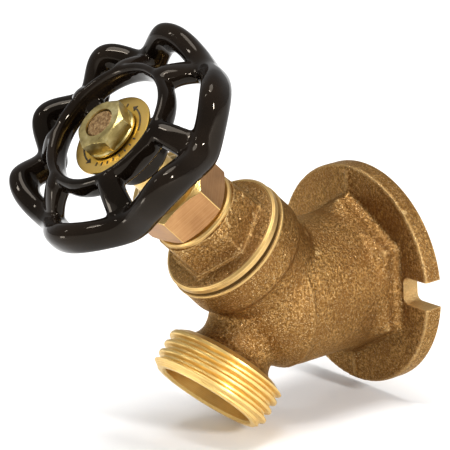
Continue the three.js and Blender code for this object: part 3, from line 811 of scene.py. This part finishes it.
def id_plate():
    """Thin brass disc, a touch dished, with a rolled edge."""
    hole_r = STEM_END_R + 0.2
    return turned("id_plate_disc", [
        (hole_r, PLATE_BOTTOM), (PLATE_R - 0.15, PLATE_BOTTOM + 0.05), (PLATE_R, PLATE_BOTTOM + 0.3),
        (PLATE_R - 0.05, PLATE_TOP - 0.1), (PLATE_R - 0.3, PLATE_TOP), (6.0, PLATE_TOP - 0.08),
        (hole_r, PLATE_TOP - 0.1),
    ], 144)


def plate_marks():
    """Generic stamped marks: a ring of ticks and two turning arrows, no lettering."""
    parts = []
    inner = 6.9
    outer = 7.25
    for start, end in ((20, 75), (200, 255)):
        outline = arc((0, 0), outer, start, end, 24) + arc((0, 0), inner, end, start, 24)
        parts.append(prism("arc", outline, PLATE_TOP - 0.05, PLATE_TOP + 0.04))
        tip = math.radians(end + 9)
        foot = math.radians(end)
        head = [(r * math.cos(a), r * math.sin(a)) for r, a in ((7.75, foot), (7.07, tip), (6.4, foot))]
        parts.append(prism("head", head, PLATE_TOP - 0.05, PLATE_TOP + 0.04))
    for degrees in [*range(100, 190, 12), *range(280, 370, 12)]:
        turn = math.radians(degrees)
        across = math.radians(1.3)
        tick = [(r * math.cos(turn + side), r * math.sin(turn + side))
                for r, side in ((6.7, -across), (7.5, -across), (7.5, across), (6.7, across))]
        parts.append(prism("tick", tick, PLATE_TOP - 0.05, PLATE_TOP + 0.04))
    return joined("id_plate_marks", parts)


def stem_shank():
    """The plain stem from its thread to its end; material 1 is the sawn end that shows through the nut."""
    shank = turned("stem_shank", [
        (0.1, 27.6), (SHANK_R, 27.6), (SHANK_R, STEM_SHOULDER - 0.4), (SHANK_R - 0.4, STEM_SHOULDER),
        (4.0, STEM_SHOULDER), (4.0, HUB_TOP - 0.6), (STEM_END_R, HUB_TOP - 0.5),
        (STEM_END_R, STEM_END - 0.3), (STEM_END_R - 0.35, STEM_END), (0.1, STEM_END + 0.08),
    ], 96)
    for face in shank.data.polygons:
        face.material_index = 1 if face.center.z > STEM_END - 0.2 else 0
    return shank


def handle_nut():
    """The nut that holds the wheel, with the round washer face it stands on."""
    nut = chamfered_hex("handle_nut_hex", HANDLE_NUT_FLAT, HANDLE_NUT_TURN, HANDLE_NUT_BOTTOM + 0.6,
                        HANDLE_NUT_TOP, STEM_END_R + 0.15, cut_bottom=False)
    hole_r = STEM_END_R + 0.2
    face = turned("nut_face", [
        (hole_r, HANDLE_NUT_BOTTOM), (HANDLE_NUT_FACE_R, HANDLE_NUT_BOTTOM),
        (HANDLE_NUT_FACE_R, HANDLE_NUT_BOTTOM + 0.45), (HANDLE_NUT_FACE_R - 0.3, HANDLE_NUT_BOTTOM + 0.7),
        (hole_r, HANDLE_NUT_BOTTOM + 0.7),
    ])
    return joined("handle_nut_hex_and_face", [nut, face])


# ---------------------------------------------------------------- assembly

bronze = cast_bronze()
stem_brass = turned_brass("stem_brass", STEM)
spout_brass = turned_brass("spout_brass", SPOUT, (0.78, 0.54, 0.17), (0.58, 0.34, 0.08),
                           lines=7000.0, dull=0.14)
plate_brass = turned_brass("plate_brass", STEM, (0.84, 0.53, 0.09), (0.66, 0.38, 0.06), lines=2600.0)
foot_brass = turned_brass("foot_brass", STEM, (0.56, 0.35, 0.11), (0.30, 0.16, 0.045),
                          lines=6000.0, dull=0.16)
pinkish = tinted_brass()

placed(cast_body(), Matrix(), "body", ["valve_body"], bronze)
placed(hose_thread(), SPOUT, "body", ["valve_body"], spout_brass)
placed(neck_rim(), STEM, "body", ["valve_body"], foot_brass)
placed(bonnet_casting(), STEM, "body", ["bonnet"], bronze)
placed(bonnet_machined(), STEM, "body", ["bonnet"], foot_brass)

placed(packing_nut(), STEM, "body", ["packing_nut"], [pinkish, stem_brass], 20)

placed(stem_shank(), STEM, "stem", [], [stem_brass, raw_end()])
placed(handwheel(), STEM, "stem", ["handwheel"], black_enamel(), 60)
placed(id_plate(), STEM, "stem", ["id_plate"], plate_brass)
placed(plate_marks(), STEM, "stem", ["id_plate"], stamped_ink())

placed(handle_nut(), STEM, "stem", ["handle_nut"], yellow_zinc(), 20)

inner_materials = {
    "bonnet_gasket": pressed_fibre(), "packing_washer": stem_brass, "packing_ring_lower": graphite_yarn(),
    "packing_ring_upper": graphite_yarn(), "packing_gland": stem_brass, "disc_holder": stem_brass,
    "disc_retainer": stem_brass, "seat_disc": rubber(), "disc_screw": stem_brass, "stem": stem_brass,
}
for node, material in inner_materials.items():
    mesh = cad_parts[node].data
    mesh.materials.clear()
    mesh.materials.append(material)


# ---------------------------------------------------------------- stage

def stage():
    """A plain pale floor just under the flange."""
    size = 6.0
    floor_z = -0.0272
    corners = [(x * size, y * size, floor_z) for x, y in ((-1, -1), (1, -1), (1, 1), (-1, 1))]
    floor = new_object("floor", corners, [(0, 1, 2, 3)])
    floor.data.materials.append(pale_floor())


def camera():
    """Long lens at the photograph's viewing angle; its target is on the plane X = 0."""
    azimuth = math.radians(53.5)
    elevation = math.radians(16.74)
    roll = math.radians(-3.44)
    distance = 0.506
    focal_pixels = 2426.0
    frame_pixels = 450.0
    target = Vector((0, -0.03767, 0.01878))
    flat = math.cos(elevation)
    back = Vector((math.sin(azimuth) * flat, -math.cos(azimuth) * flat, math.sin(elevation)))
    level = Vector((math.cos(azimuth), math.sin(azimuth), 0))
    up = back.cross(level)
    right = math.cos(roll) * level + math.sin(roll) * up
    top = -math.sin(roll) * level + math.cos(roll) * up
    data = bpy.data.cameras.new("camera")
    data.sensor_width = 36.0
    data.lens = 36.0 * focal_pixels / frame_pixels
    data.clip_start = 0.05
    data.clip_end = 20.0
    obj = bpy.data.objects.new("camera", data)
    bpy.context.scene.collection.objects.link(obj)
    turn = Matrix((right, top, back)).transposed().to_4x4()
    obj.matrix_world = Matrix.Translation(target + distance * back) @ turn
    bpy.context.scene.camera = obj


def area_light(name, position, target, size, power):
    """White rectangular softbox at a position, facing a target."""
    data = bpy.data.lights.new(name, "AREA")
    data.shape = "RECTANGLE"
    data.size, data.size_y = size
    data.energy = power
    obj = bpy.data.objects.new(name, data)
    bpy.context.scene.collection.objects.link(obj)
    obj.location = position
    obj.rotation_mode = "QUATERNION"
    obj.rotation_quaternion = (Vector(target) - Vector(position)).to_track_quat("-Z", "Y")


def lights():
    """Soft overhead sun, and small bright softboxes for the crisp highlights on the enamel."""
    sun = bpy.data.lights.new("sun", "SUN")
    sun.energy = 2.0
    sun.angle = math.radians(34)
    sun_object = bpy.data.objects.new("sun", sun)
    bpy.context.scene.collection.objects.link(sun_object)
    sun_object.rotation_mode = "QUATERNION"
    sun_object.rotation_quaternion = Vector((-0.10, 0.05, -1.0)).to_track_quat("-Z", "Y")
    centre = (0, -0.04, 0.02)
    area_light("key", (0.93, 0.02, 0.36), centre, (0.07, 0.16), 8.0)
    area_light("softbox", (0.12, -0.32, 0.86), centre, (0.34, 0.045), 2.2)
    area_light("glint", (-0.40, -0.80, 0.80), centre, (0.06, 0.20), 1.1)
    area_light("low_front", (-0.04, -0.27, -0.005), (0, -0.045, 0.0), (0.05, 0.04), 0.10)


def sky():
    """Even white surroundings."""
    world = bpy.data.worlds.new("sky")
    world.use_nodes = True
    bpy.context.scene.world = world
    background = world.node_tree.nodes["Background"]
    background.inputs["Color"].default_value = (1.0, 1.0, 1.0, 1.0)
    background.inputs["Strength"].default_value = 0.47


bpy.context.scene.view_settings.view_transform = "Standard"
stage()
camera()
lights()
sky()
